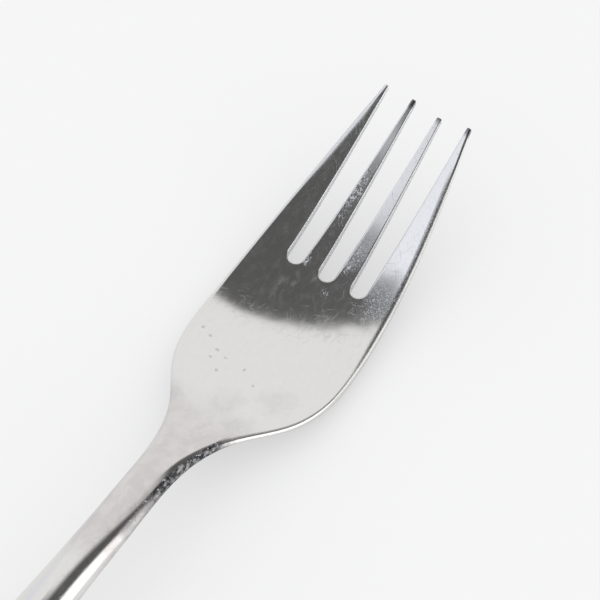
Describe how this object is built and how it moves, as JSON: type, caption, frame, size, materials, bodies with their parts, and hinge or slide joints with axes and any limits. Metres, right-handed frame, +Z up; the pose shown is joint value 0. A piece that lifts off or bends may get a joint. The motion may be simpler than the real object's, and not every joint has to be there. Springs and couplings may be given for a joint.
{
  "type": "dinner fork",
  "caption": "Polished steel dinner fork with short tapered tines, a broad dished palm, a slim neck and a round-ended hollow handle.",
  "frame": {"origin": "on the table, below the middle of the fork's length", "axes": "+X along the fork towards the tine tips, +Y to the left of someone holding it, +Z up"},
  "size_m": [0.196, 0.0264, 0.0152],
  "materials": {
    "polished_steel": "mirror polish dulled by fine scratches and small pits",
    "handle_cement": "matte resin cement"
  },
  "bodies": {
    "root": {"fork_head": "polished_steel", "upper_handle_shell": "polished_steel", "lower_handle_shell": "polished_steel", "handle_filler": "handle_cement"}
  },
  "joints": []
}
